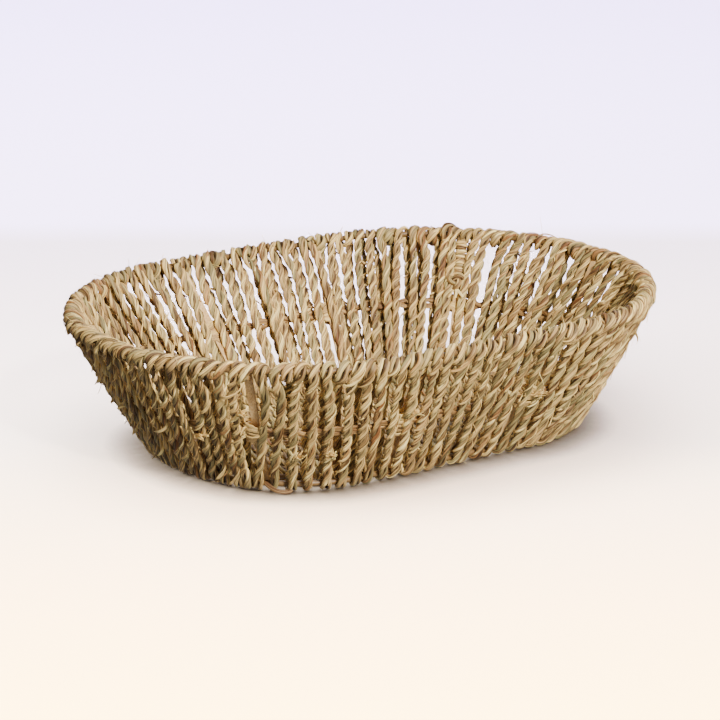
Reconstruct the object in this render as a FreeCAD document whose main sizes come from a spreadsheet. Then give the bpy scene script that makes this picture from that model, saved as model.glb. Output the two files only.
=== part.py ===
"""Oval bread basket: grass rope wound round a cane frame.

Frame: millimetres, +Z up, +X along the basket's length. The origin is the middle
of the footprint, on the surface that the basket stands on.
"""

import FreeCAD, Part
import math
import os
import Sketcher

from FreeCAD import Placement, Rotation, Vector

doc = FreeCAD.newDocument("bread_basket")

# ---------------------------------------------------------------------------
# Driving dimensions
# ---------------------------------------------------------------------------
# Every hoop is an oval of eight tangent arcs: two ends, two sides and four
# corners. Its size is its half length, half width, corner radius and the place
# of a corner's centre, all on the centreline of the cane.

DIMENSIONS = {
    "rim_half_length": 180.0,
    "rim_half_width": 130.0,
    "rim_corner_radius": 77.4,
    "rim_corner_x": 65.3,
    "rim_corner_y": 51.1,
    "base_half_length": 133.2,
    "base_half_width": 85.3,
    "base_corner_radius": 66.8,
    "base_corner_x": 62.1,
    "base_corner_y": 18.2,
    "twine_half_length": 155.6,
    "twine_half_width": 106.8,
    "twine_corner_radius": 94.7,
    "twine_corner_x": 58.1,
    "twine_corner_y": 11.1,
    "hoop_spacing": 78.0,
    "hoop_radius": 1.7,
    "rope_diameter": 3.2,
    "rope_clearance": 0.25,
    "stake_count": 10,
    "stake_width": 4.8,
    "stake_thickness": 1.6,
    "stake_rounding": 0.55,
    "end_clearance": 0.5,
    "twine_radius": 0.6,
    "twine_turn": 0.26,
    "twine_level": 0.48,
    "tie_height": 8.0,
    "tie_band": 0.5,
    "binding_band": 1.1,
    "binding_length": 26.0,
    "knot_radius": 1.0,
    "floor_inset": 11.4,
    "floor_hoop_radius": 1.5,
    "floor_rib_radius": 1.2,
    "floor_rib_spacing": 24.0,
    "lashing_radius": 0.8,
}

sheet = doc.addObject("Spreadsheet::Sheet", "Sheet")
for row, (alias, value) in enumerate(DIMENSIONS.items(), start=1):
    sheet.set(f"A{row}", alias)
    sheet.set(f"B{row}", str(value))
    sheet.setAlias(f"B{row}", alias)
doc.recompute()


def dim(alias):
    """A driving dimension, read back from the sheet."""
    return float(sheet.get(alias))


ROPE_RADIUS = dim("rope_diameter") / 2
TURN_RADIUS = dim("hoop_radius") + dim("rope_clearance") + ROPE_RADIUS
BASE_HEIGHT = TURN_RADIUS + ROPE_RADIUS
RIM_HEIGHT = BASE_HEIGHT + dim("hoop_spacing")
FLOOR_TURN_RADIUS = dim("floor_hoop_radius") + dim("rope_clearance") + ROPE_RADIUS
FLOOR_HEIGHT = FLOOR_TURN_RADIUS + ROPE_RADIUS + 0.6

# Passes of the rope in one panel, which is the stretch from stake to stake.
RIM_SLOTS = 14
RIM_ONLY_SLOTS = (3, 7, 11)
BASE_SLOTS = 11

# The stakes and the rope lean round the basket: at the base they stand one turn
# of rope behind their places at the rim.
BASE_LEAN = -1 / (dim("stake_count") * BASE_SLOTS)


# ---------------------------------------------------------------------------
# Ovals
# ---------------------------------------------------------------------------
class Oval:
    """A level oval of eight tangent arcs, centred on the Z axis."""

    def __init__(self, half_length, half_width, corner_radius, corner_x, corner_y, height):
        self.half_length = half_length
        self.corner_radius = corner_radius
        self.corner_x = corner_x
        self.corner_y = corner_y
        self.height = height
        self.end_radius = blend_radius(corner_y, corner_x, half_length, corner_radius)
        self.side_radius = blend_radius(corner_x, corner_y, half_width, corner_radius)
        end_x = half_length - self.end_radius
        side_y = half_width - self.side_radius
        first = math.atan2(corner_y, corner_x - end_x)
        second = math.atan2(corner_y - side_y, corner_x)
        half = math.pi
        self.arcs = [
            (end_x, 0.0, self.end_radius, -first, first),
            (corner_x, corner_y, corner_radius, first, second),
            (0.0, side_y, self.side_radius, second, half - second),
            (-corner_x, corner_y, corner_radius, half - second, half - first),
            (-end_x, 0.0, self.end_radius, half - first, half + first),
            (-corner_x, -corner_y, corner_radius, half + first, half + second),
            (0.0, -side_y, self.side_radius, half + second, 2 * half - second),
            (corner_x, -corner_y, corner_radius, 2 * half - second, 2 * half - first),
        ]
        self.length = sum(radius * (stop - start) for _, _, radius, start, stop in self.arcs)

    def at(self, fraction):
        """Centreline point and forward direction, a fraction of the way round from +X."""
        left = (fraction % 1.0) * self.length + self.arcs[0][2] * self.arcs[0][4]
        index = 0
        while True:
            x, y, radius, start, stop = self.arcs[index % 8]
            if left <= radius * (stop - start):
                break
            left -= radius * (stop - start)
            index += 1
        angle = start + left / radius
        point = Vector(x + radius * math.cos(angle), y + radius * math.sin(angle), self.height)
        return point, Vector(-math.sin(angle), math.cos(angle), 0)

    def crossing(self, axis, value):
        """Point and direction in the first quadrant where X (axis "x") or Y has a value."""
        low, high = 0.0, 0.25
        for _ in range(60):
            middle = (low + high) / 2
            point, _ = self.at(middle)
            before = point.x > abs(value) if axis == "x" else point.y < abs(value)
            low, high = (middle, high) if before else (low, middle)
        return self.at(low)


def blend_radius(across, along, reach, corner_radius):
    """Radius of the arc that crosses an axis at reach and blends into two corner arcs."""
    return (across ** 2 + (along - reach) ** 2 - corner_radius ** 2) / (2 * (reach - along - corner_radius))


OVAL_SIZES = ("half_length", "half_width", "corner_radius", "corner_x", "corner_y")


def grown_oval(prefix, grow, height):
    """The oval of a prefix in the sheet, grown outwards by an even distance."""
    sizes = [dim(f"{prefix}_{name}") for name in OVAL_SIZES]
    for index in range(3):
        sizes[index] += grow
    return Oval(*sizes, height)


def grown_sizes(prefix, grow):
    """The same oval's five sizes, as expressions on the sheet."""
    cells = [f"Sheet.{prefix}_{name}" for name in OVAL_SIZES]
    return [f"({cell} + ({grow}))" if index < 3 else cell for index, cell in enumerate(cells)]


RIM = grown_oval("rim", 0.0, RIM_HEIGHT)
BASE = grown_oval("base", 0.0, BASE_HEIGHT)
FLOOR = grown_oval("base", -dim("floor_inset"), FLOOR_HEIGHT)


# ---------------------------------------------------------------------------
# Document helpers
# ---------------------------------------------------------------------------
parts = []


def keep(item, label):
    """Lists an object as one node of the basket."""
    item.Label = label
    parts.append(item)
    return item


def new_body(label):
    return keep(doc.addObject("PartDesign::Body", label), label)


def new_sketch(body, name, role):
    """A sketch on one of the body's own origin planes."""
    sketch = body.newObject("Sketcher::SketchObject", name)
    plane = next(item for item in body.Origin.OriginFeatures if item.Role == role)
    sketch.AttachmentSupport = (plane, "")
    sketch.MapMode = "FlatFace"
    return sketch


def bind(sketch, kind, arguments, value, expression):
    """Adds a sized constraint and ties its value to the sheet."""
    index = sketch.addConstraint(Sketcher.Constraint(kind, *arguments, value))
    sketch.setExpression(f"Constraints[{index}]", expression)


def draw_polygon(sketch, corners):
    """A closed outline of straight lines."""
    first = sketch.GeometryCount
    count = len(corners)
    for index, corner in enumerate(corners):
        following = corners[(index + 1) % count]
        sketch.addGeometry(Part.LineSegment(Vector(*corner, 0), Vector(*following, 0)), False)
    for index in range(count):
        sketch.addConstraint(Sketcher.Constraint("Coincident", first + index, 2, first + (index + 1) % count, 1))


def frame_placement(origin, width_direction, up_direction):
    """Placement whose local X lies along width_direction and local Z along up_direction."""
    up = Vector(up_direction).normalize()
    across = Vector(width_direction).normalize()
    depth = up.cross(across).normalize()
    return Placement(origin, Rotation(depth.cross(up), depth, up, "ZXY"))


# ---------------------------------------------------------------------------
# Hoops and other oval rods
# ---------------------------------------------------------------------------
def oval_rod(label, oval, radius_cell, sizes):
    """A round rod bent into an oval. sizes gives the oval's five sizes as expressions."""
    body = new_body(label)
    path = new_sketch(body, label + "_path", "XY_Plane")
    for x, y, radius, start, stop in oval.arcs:
        circle = Part.Circle(Vector(x, y, 0), Vector(0, 0, 1), radius)
        path.addGeometry(Part.ArcOfCircle(circle, start, stop), False)
    for index in range(8):
        path.addConstraint(Sketcher.Constraint("Tangent", index, 2, (index + 1) % 8, 1))
    half_length, half_width, corner, corner_x, corner_y = sizes
    for index in (1, 3, 5, 7):
        x, y, radius, _, _ = oval.arcs[index]
        across = (-1, 1, index, 3) if x > 0 else (index, 3, -1, 1)
        along = (-1, 1, index, 3) if y > 0 else (index, 3, -1, 1)
        bind(path, "Radius", (index,), radius, corner)
        bind(path, "DistanceX", across, abs(x), corner_x)
        bind(path, "DistanceY", along, abs(y), corner_y)
    end = f"({corner_y}^2 + ({corner_x} - {half_length})^2 - {corner}^2)"
    end += f" / (2 * ({half_length} - {corner_x} - {corner}))"
    side = f"({corner_x}^2 + ({corner_y} - {half_width})^2 - {corner}^2)"
    side += f" / (2 * ({half_width} - {corner_y} - {corner}))"
    for index, expression in ((0, end), (4, end), (2, side), (6, side)):
        bind(path, "Radius", (index,), oval.arcs[index][2], expression)
    section = new_sketch(body, label + "_section", "XZ_Plane")
    section.addGeometry(Part.Circle(Vector(oval.half_length, 0, 0), Vector(0, 0, 1), dim(radius_cell)), False)
    section.addConstraint(Sketcher.Constraint("PointOnObject", 0, 3, -1))
    bind(section, "DistanceX", (-1, 1, 0, 3), oval.half_length, half_length)
    bind(section, "Radius", (0,), dim(radius_cell), f"Sheet.{radius_cell}")
    pipe = body.newObject("PartDesign::AdditivePipe", label + "_pipe")
    pipe.Profile = section
    pipe.Spine = (path, [])
    body.Placement = Placement(Vector(0, 0, oval.height), Rotation())
    return body


oval_rod("rim_hoop", RIM, "hoop_radius", grown_sizes("rim", 0))
oval_rod("base_hoop", BASE, "hoop_radius", grown_sizes("base", 0))
oval_rod("floor_hoop", FLOOR, "floor_hoop_radius", grown_sizes("base", "-Sheet.floor_inset"))

# The two strands of twine lie one above the other, against the outer face of the
# stakes. The wall leans outwards, so the upper strand is the longer. The stakes'
# lean turns the ring a little about Z.
WALL_RUN = dim("rim_half_width") - dim("base_half_width")
WALL_SLANT = math.atan2(WALL_RUN, dim("hoop_spacing"))
TWINE_HEIGHT = BASE_HEIGHT + dim("hoop_spacing") * dim("twine_level")
STRAND_ROOM = dim("twine_radius") + 0.15
for label, side in (("twine_upper", 1), ("twine_lower", -1)):
    lift = side * STRAND_ROOM * math.cos(WALL_SLANT)
    grow = STRAND_ROOM / math.cos(WALL_SLANT) + lift * math.tan(WALL_SLANT)
    oval = grown_oval("twine", grow, TWINE_HEIGHT + lift)
    strand = oval_rod(label, oval, "twine_radius", grown_sizes("twine", grow))
    strand.Placement = Placement(Vector(0, 0, oval.height), Rotation(Vector(0, 0, 1), dim("twine_turn")))


# ---------------------------------------------------------------------------
# Stakes, their ties and the binding on one of them
# ---------------------------------------------------------------------------
STAKES = int(dim("stake_count"))


def wall_line(fraction):
    """Base point, rim point and forward direction of the wall at a fraction of the way round."""
    low, low_direction = BASE.at(fraction + BASE_LEAN)
    top, top_direction = RIM.at(fraction)
    return low, top, (low_direction + top_direction).normalize()


def stake_frame(fraction, distance):
    """Placement on a stake: local X across it, Z up along it, Y out of the basket."""
    low, top, forward = wall_line(fraction)
    up = (top - low).normalize()
    return frame_placement(low + up * distance, forward * -1, up), (top - low).Length


def stake(number):
    """A flat split cane, hollowed at both ends to sit against the hoops."""
    placement, length = stake_frame(number / STAKES, 0.0)
    body = new_body(f"stake_{number + 1:02d}")
    outline = new_sketch(body, f"stake_{number + 1:02d}_outline", "XZ_Plane")
    half = dim("stake_width") / 2
    draw_polygon(outline, [(-half, 0), (half, 0), (half, length), (-half, length)])
    for index, kind in enumerate(("Vertical", "Horizontal", "Vertical"), start=1):
        outline.addConstraint(Sketcher.Constraint(kind, index))
    outline.addConstraint(Sketcher.Constraint("Symmetric", 0, 1, 0, 2, -2))
    outline.addConstraint(Sketcher.Constraint("PointOnObject", 0, 1, -1))
    outline.addConstraint(Sketcher.Constraint("DistanceY", 1, 1, 1, 2, length))
    bind(outline, "DistanceX", (0, 1, 0, 2), dim("stake_width"), "Sheet.stake_width")
    pad = body.newObject("PartDesign::Pad", f"stake_{number + 1:02d}_pad")
    pad.Profile = outline
    pad.Length = dim("stake_thickness")
    pad.setExpression("Length", "Sheet.stake_thickness")
    doc.recompute()
    long_edges = [
        f"Edge{index}"
        for index, edge in enumerate(pad.Shape.Edges, start=1)
        if edge.Length > length - 1.0
    ]
    rounding = body.newObject("PartDesign::Fillet", f"stake_{number + 1:02d}_rounding")
    rounding.Base = (pad, long_edges)
    rounding.Radius = dim("stake_rounding")
    rounding.setExpression("Radius", "Sheet.stake_rounding")
    doc.recompute()
    ends = new_sketch(body, f"stake_{number + 1:02d}_ends", "YZ_Plane")
    radius = dim("hoop_radius") + dim("end_clearance")
    for index, height in enumerate((0.0, length)):
        ends.addGeometry(Part.Circle(Vector(0, height, 0), Vector(0, 0, 1), radius), False)
        bind(ends, "Radius", (index,), radius, "Sheet.hoop_radius + Sheet.end_clearance")
        ends.addConstraint(Sketcher.Constraint("PointOnObject", index, 3, -2))
    ends.addConstraint(Sketcher.Constraint("PointOnObject", 0, 3, -1))
    ends.addConstraint(Sketcher.Constraint("DistanceY", -1, 1, 1, 3, length))
    notch = body.newObject("PartDesign::Pocket", f"stake_{number + 1:02d}_notch")
    notch.Profile = ends
    notch.Type = "ThroughAll"
    notch.Midplane = True
    body.Placement = placement
    return body


def tie(number):
    """A flat leaf band round a stake, open at both sides where the twine runs through."""
    low, top, _ = wall_line(number / STAKES)
    length = (top - low).Length
    middle = dim("twine_level") * length
    placement, _ = stake_frame(number / STAKES, middle - dim("tie_height") / 2)
    label = f"tie_{number + 1:02d}"
    gap = 0.05
    band = dim("tie_band")
    inner_width = dim("stake_width") + 2 * gap
    front = 2 * dim("twine_radius") + 0.7
    back = -dim("stake_thickness") - gap
    body = new_body(label)
    ring = new_sketch(body, label + "_ring", "XY_Plane")
    for grow in (band, 0.0):
        x = inner_width / 2 + grow
        corners = [(-x, back - grow), (x, back - grow), (x, front + grow), (-x, front + grow)]
        draw_polygon(ring, corners)
    pad = body.newObject("PartDesign::Pad", label + "_pad")
    pad.Profile = ring
    pad.Length = dim("tie_height")
    pad.setExpression("Length", "Sheet.tie_height")
    doc.recompute()
    window = new_sketch(body, label + "_window", "YZ_Plane")
    half_window = 2 * dim("twine_radius") + 1.1
    middle = dim("tie_height") / 2
    corners = [
        (-0.1, middle - half_window),
        (front, middle - half_window),
        (front, middle + half_window),
        (-0.1, middle + half_window),
    ]
    draw_polygon(window, corners)
    opening = body.newObject("PartDesign::Pocket", label + "_opening")
    opening.Profile = window
    opening.Type = "ThroughAll"
    opening.Midplane = True
    body.Placement = placement
    return body


for number in range(STAKES):
    stake(number)
for number in range(STAKES):
    tie(number)

# One stake is bound with a strand from the rim down to a knot above the twine.
BOUND_STAKE = 1


def stake_binding():
    """The bound strand, as a sleeve round the stake."""
    _, length = stake_frame(BOUND_STAKE / STAKES, 0.0)
    top = length - TURN_RADIUS - ROPE_RADIUS - 0.4
    placement, _ = stake_frame(BOUND_STAKE / STAKES, top - dim("binding_length"))
    body = new_body("stake_binding")
    ring = new_sketch(body, "stake_binding_ring", "XY_Plane")
    middle = -dim("stake_thickness") / 2
    for grow in (dim("binding_band"), 0.0):
        half_width = dim("stake_width") / 2 + 0.05 + grow
        half_depth = dim("stake_thickness") / 2 + 0.05 + grow
        corners = [(-1, -1), (1, -1), (1, 1), (-1, 1)]
        corners = [(x * half_width, middle + y * half_depth) for x, y in corners]
        draw_polygon(ring, corners)
    pad = body.newObject("PartDesign::Pad", "stake_binding_pad")
    pad.Profile = ring
    pad.Length = dim("binding_length")
    pad.setExpression("Length", "Sheet.binding_length")
    body.Placement = placement
    return placement


def binding_knot(binding_placement):
    """The knot that ends the binding, as a ring round the stake."""
    knot = keep(doc.addObject("Part::Torus", "binding_knot"), "binding_knot")
    knot.setExpression("Radius2", "Sheet.knot_radius")
    knot.setExpression("Radius1", "Sheet.knot_radius + Sheet.stake_width / 2 + 0.4")
    drop = dim("knot_radius") + 0.2
    centre = Vector(0, -dim("stake_thickness") / 2, -drop)
    knot.Placement = binding_placement.multiply(Placement(centre, Rotation()))


binding_knot(stake_binding())


# ---------------------------------------------------------------------------
# Rope
# ---------------------------------------------------------------------------
def rope_loop(low, top, forward, turn_radius, rope_radius):
    """A closed loop of rope round two parallel rods: two straight runs and two half turns."""
    along = (top - low).normalize()
    side = forward.cross(along).normalize()
    corners = [low + side * turn_radius, top + side * turn_radius]
    corners += [top - side * turn_radius, low - side * turn_radius]
    path = Part.Wire([
        Part.makeLine(corners[0], corners[1]),
        Part.Arc(corners[1], top + along * turn_radius, corners[2]).toShape(),
        Part.makeLine(corners[2], corners[3]),
        Part.Arc(corners[3], low - along * turn_radius, corners[0]).toShape(),
    ])
    section = Part.Wire(Part.makeCircle(rope_radius, corners[0], along))
    return path.makePipeShell([section], True, False)


def rope_ring(centre, forward, turn_radius, rope_radius):
    """One turn of rope round a rod."""
    return Part.makeTorus(turn_radius, rope_radius, centre, forward)


def rope_cap(fraction):
    """A turn of rope over the rim at a stake, open below where the stake comes up."""
    low, top, forward = wall_line(fraction)
    up = (top - low).normalize()
    open_half = 53.0
    turn = Part.makeTorus(TURN_RADIUS, ROPE_RADIUS, Vector(), Vector(0, 0, 1), 0, 360, 360 - 2 * open_half)
    start = Rotation(up * -1, Vector(), forward, "ZXY")
    turn.Placement = Placement(top, start.multiply(Rotation(Vector(0, 0, 1), open_half)))
    return turn


def feature(label, solids):
    item = doc.addObject("Part::Feature", label)
    item.Shape = Part.makeCompound(solids)
    return keep(item, label)


def wall_panel(number):
    """The rope's turns round rim hoop and base hoop between two stakes."""
    rim_slots = [slot for slot in range(1, RIM_SLOTS) if slot not in RIM_ONLY_SLOTS]
    loops = []
    for base_slot, rim_slot in enumerate(rim_slots, start=1):
        top, top_direction = RIM.at((number + rim_slot / RIM_SLOTS) / STAKES)
        low, low_direction = BASE.at((number + base_slot / BASE_SLOTS) / STAKES + BASE_LEAN)
        along = (top - low).normalize()
        forward = top_direction + low_direction
        forward = (forward - along * forward.dot(along)).normalize()
        loops.append(rope_loop(low, top, forward, TURN_RADIUS, ROPE_RADIUS))
    return feature(f"wall_rope_{number + 1:02d}", loops)


def rim_wraps():
    """Turns that go round the rim alone, and those that cap the stakes."""
    wraps = []
    for number in range(STAKES):
        wraps.append(rope_cap(number / STAKES))
        for slot in RIM_ONLY_SLOTS:
            centre, forward = RIM.at((number + slot / RIM_SLOTS) / STAKES)
            wraps.append(rope_ring(centre, forward, TURN_RADIUS, ROPE_RADIUS))
    return feature("rim_wraps", wraps)


for number in range(STAKES):
    wall_panel(number)
rim_wraps()


# ---------------------------------------------------------------------------
# Floor
# ---------------------------------------------------------------------------
FLOOR_PITCH = BASE.length / (STAKES * BASE_SLOTS)
FLOOR_CROSSINGS = 34
END_TURNS = 5
SIDE_LASHINGS = (22.5, 26.5, 28.5, 30.5)
END_LASHINGS = (-2.5, 1.5)


def beside_base(station):
    """Points on base hoop and floor hoop beside each other, and the hoops' direction."""
    outer, forward = BASE.at(station / (STAKES * BASE_SLOTS))
    outward = forward.cross(Vector(0, 0, 1))
    inner = outer - outward * dim("floor_inset")
    inner.z = FLOOR_HEIGHT
    return inner, outer, forward


def floor_rib(number, across):
    """A round cane along the floor, between the rope's upper and lower runs."""
    end, _ = FLOOR.crossing("y", across)
    reach = end.x - FLOOR_TURN_RADIUS - ROPE_RADIUS - 0.5
    label = f"floor_rib_{number}"
    rib = keep(doc.addObject("Part::Cylinder", label), label)
    rib.setExpression("Radius", "Sheet.floor_rib_radius")
    rib.Height = 2 * reach
    rib.Placement = Placement(Vector(-reach, across, FLOOR_HEIGHT), Rotation(Vector(0, 1, 0), 90))


def floor_rope():
    """The rope's turns across the floor, from side to side of the floor hoop."""
    loops = []
    for number in range(FLOOR_CROSSINGS):
        along = (number - (FLOOR_CROSSINGS - 1) / 2) * FLOOR_PITCH
        side, direction = FLOOR.crossing("x", along)
        slant_room = FLOOR_TURN_RADIUS * (1 / abs(direction.x) - 1)
        low = Vector(along, -side.y - slant_room, FLOOR_HEIGHT)
        top = Vector(along, side.y + slant_room, FLOOR_HEIGHT)
        loops.append(rope_loop(low, top, Vector(1, 0, 0), FLOOR_TURN_RADIUS, ROPE_RADIUS))
    return feature("floor_rope", loops)


def floor_end_wraps():
    """Turns round the floor hoop at its two ends, past the last crossing."""
    wraps = []
    for end in (0, STAKES * BASE_SLOTS // 2):
        for station in range(end - END_TURNS, end + END_TURNS + 1):
            centre, _, forward = beside_base(station)
            wraps.append(rope_ring(centre, forward, FLOOR_TURN_RADIUS, ROPE_RADIUS))
    return feature("floor_end_wraps", wraps)


def floor_lashings():
    """Thin cord loops that tie the floor hoop to the base hoop."""
    half = STAKES * BASE_SLOTS // 2
    first_half = SIDE_LASHINGS + END_LASHINGS
    stations = [station + turn for turn in (0, half) for station in first_half]
    turn_radius = dim("hoop_radius") + dim("rope_clearance") + dim("lashing_radius")
    loops = []
    for station in stations:
        inner, outer, forward = beside_base(station)
        loops.append(rope_loop(inner, outer, forward, turn_radius, dim("lashing_radius")))
    return feature("floor_lashings", loops)


for number in range(5):
    floor_rib(number + 1, (number - 2) * dim("floor_rib_spacing"))
floor_rope()
floor_end_wraps()
floor_lashings()


# ---------------------------------------------------------------------------
# Checks and files
# ---------------------------------------------------------------------------
doc.recompute()
for item in doc.Objects:
    for state in ("Invalid", "Error"):
        if state in item.State:
            raise RuntimeError(f"{item.Label} is {state}")
for item in parts:
    if item.Shape.isNull() or not item.Shape.isValid():
        raise RuntimeError(f"{item.Label} has no valid shape")
    if not item.Shape.Solids:
        raise RuntimeError(f"{item.Label} has no solid")

os.makedirs("parts", exist_ok=True)
for item in parts:
    item.Shape.exportStep(f"parts/{item.Label}.step")
print(f"{len(parts)} nodes written")
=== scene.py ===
"""Bread basket: grass rope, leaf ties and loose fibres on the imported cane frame. Metres, +Z up."""

import math

import bpy
import numpy as np
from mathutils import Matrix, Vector


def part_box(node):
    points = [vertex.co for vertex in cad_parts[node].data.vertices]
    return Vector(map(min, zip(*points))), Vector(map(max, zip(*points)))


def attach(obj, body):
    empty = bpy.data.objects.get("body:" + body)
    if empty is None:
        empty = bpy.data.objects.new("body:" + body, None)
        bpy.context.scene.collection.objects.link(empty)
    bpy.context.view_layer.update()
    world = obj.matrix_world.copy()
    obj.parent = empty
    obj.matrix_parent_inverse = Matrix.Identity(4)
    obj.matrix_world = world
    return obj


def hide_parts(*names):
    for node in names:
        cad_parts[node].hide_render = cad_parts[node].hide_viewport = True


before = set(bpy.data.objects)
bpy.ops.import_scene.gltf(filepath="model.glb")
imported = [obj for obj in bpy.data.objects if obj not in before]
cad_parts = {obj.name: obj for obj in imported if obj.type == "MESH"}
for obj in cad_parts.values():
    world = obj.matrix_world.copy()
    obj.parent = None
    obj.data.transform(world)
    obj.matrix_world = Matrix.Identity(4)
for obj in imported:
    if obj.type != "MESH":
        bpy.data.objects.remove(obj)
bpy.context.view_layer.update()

MM = 0.001
random = np.random.default_rng(20)

# ---- The frame's ovals ----
# Corner radius and corner centre of each eight-arc centreline. The rest comes from its hoop.
RIM_CORNER = (77.4 * MM, 65.3 * MM, 51.1 * MM)
BASE_CORNER = (66.8 * MM, 62.1 * MM, 18.2 * MM)

# From one stake to the next there are this many places for a turn of rope, on the rim and at
# the base. At some on the rim it goes round the rim only. The stake takes one at the base.
STAKES = 10
RIM_SLOTS = 14
RIM_ONLY_SLOTS = (0, 3, 7, 11)
BASE_SLOTS = 11
RIM_TURNS = STAKES * RIM_SLOTS
BASE_TURNS = STAKES * BASE_SLOTS
BASE_LEAN = -1.0 / BASE_TURNS
TWINE_LEVEL = 0.48

ROPE_HALF_THICKNESS = 1.65 * MM


class Oval:
    """A level oval of eight tangent arcs, followed by a fraction of its length from +X."""

    def __init__(self, half_length, half_width, corner, height):
        corner_radius, corner_x, corner_y = corner
        end_radius = blend_radius(corner_y, corner_x, half_length, corner_radius)
        side_radius = blend_radius(corner_x, corner_y, half_width, corner_radius)
        end_x = half_length - end_radius
        side_y = half_width - side_radius
        first = math.atan2(corner_y, corner_x - end_x)
        second = math.atan2(corner_y - side_y, corner_x)
        quarter = [
            (end_x, 0.0, end_radius, 0.0, first),
            (corner_x, corner_y, corner_radius, first, second),
            (0.0, side_y, side_radius, second, math.pi / 2),
        ]
        lengths = [radius * (stop - start) for _, _, radius, start, stop in quarter]
        self.quarter = quarter
        self.joints = np.concatenate([[0.0], np.cumsum(lengths)])
        self.length = 4 * self.joints[-1]
        self.height = height

    def at(self, fraction):
        """Centreline points, forward directions and outward directions."""
        fraction = np.mod(np.atleast_1d(fraction), 1.0)
        quadrant = np.minimum((fraction * 4).astype(int), 3)
        inside = fraction * 4 - quadrant
        folded = np.where(quadrant % 2 == 0, inside, 1 - inside) * self.joints[-1]
        x, y, angle = np.zeros_like(folded), np.zeros_like(folded), np.zeros_like(folded)
        for index, (centre_x, centre_y, radius, start, _) in enumerate(self.quarter):
            here = (folded >= self.joints[index]) & (folded <= self.joints[index + 1] + 1e-9)
            turn = start + (folded - self.joints[index]) / radius
            x = np.where(here, centre_x + radius * np.cos(turn), x)
            y = np.where(here, centre_y + radius * np.sin(turn), y)
            angle = np.where(here, turn, angle)
        sign_x = np.where((quadrant == 1) | (quadrant == 2), -1.0, 1.0)
        sign_y = np.where(quadrant >= 2, -1.0, 1.0)
        points = np.stack([sign_x * x, sign_y * y, np.full_like(x, self.height)], axis=1)
        outward = np.stack([sign_x * np.cos(angle), sign_y * np.sin(angle), np.zeros_like(x)], axis=1)
        forward = np.stack([-outward[:, 1], outward[:, 0], np.zeros_like(x)], axis=1)
        return points, forward, outward


def blend_radius(across, along, reach, corner_radius):
    """Radius of the arc that crosses an axis at reach and blends into two corner arcs."""
    excess = across ** 2 + (along - reach) ** 2 - corner_radius ** 2
    return excess / (2 * (reach - along - corner_radius))


def hoop_oval(node, corner):
    """The centreline of a hoop in the frame, and the radius of its rod."""
    low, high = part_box(node)
    rod = (high[2] - low[2]) / 2
    return Oval(high[0] - rod, high[1] - rod, corner, (high[2] + low[2]) / 2), rod


RIM, HOOP_RADIUS = hoop_oval("rim_hoop", RIM_CORNER)
BASE, _ = hoop_oval("base_hoop", BASE_CORNER)
# How far the floor hoop's centreline stands inside the base hoop's.
floor_low, floor_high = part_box("floor_hoop")
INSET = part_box("base_hoop")[1][0] - floor_high[0] - HOOP_RADIUS
INSET += (floor_high[2] - floor_low[2]) / 2
FLOOR_CORNER = (BASE_CORNER[0] - INSET, *BASE_CORNER[1:])
FLOOR, FLOOR_ROD = hoop_oval("floor_hoop", FLOOR_CORNER)
TURN_RADIUS = HOOP_RADIUS + ROPE_HALF_THICKNESS


def unit(vectors):
    """Vectors of length 1 in the same directions."""
    return vectors / np.linalg.norm(vectors, axis=-1, keepdims=True)


def wall_at(rim_fraction, base_fraction):
    """Rim and base points of wall lines, with their up-the-wall, forward and outward directions.

    The base end of a line stands one turn behind its rim end.
    """
    top, top_forward, _ = RIM.at(rim_fraction)
    low, low_forward, _ = BASE.at(np.asarray(base_fraction) + BASE_LEAN)
    up = unit(top - low)
    forward = unit(top_forward + low_forward)
    outward = unit(np.cross(forward, up))
    return top, low, up, unit(np.cross(up, outward)), outward


def ease_in(place):
    """A smooth rise from 0 to 1, level before and after it."""
    place = np.clip(place, 0, 1)
    return place * place * (3 - 2 * place)


def smooth_noise(length, spacing):
    """A function of distance with random values of spread 1, a new one every spacing."""
    count = int(length / spacing) + 4
    values = random.normal(size=count)

    def value(distance):
        place = np.clip(np.asarray(distance) / spacing, 0, count - 1.001)
        index = place.astype(int)
        ease = ease_in(place - index)
        return values[index] * (1 - ease) + values[index + 1] * ease

    return value


def clipped_normal(mean, spread, low, high):
    """A random number about a mean, kept within limits."""
    return float(np.clip(random.normal(mean, spread), low, high))


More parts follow.
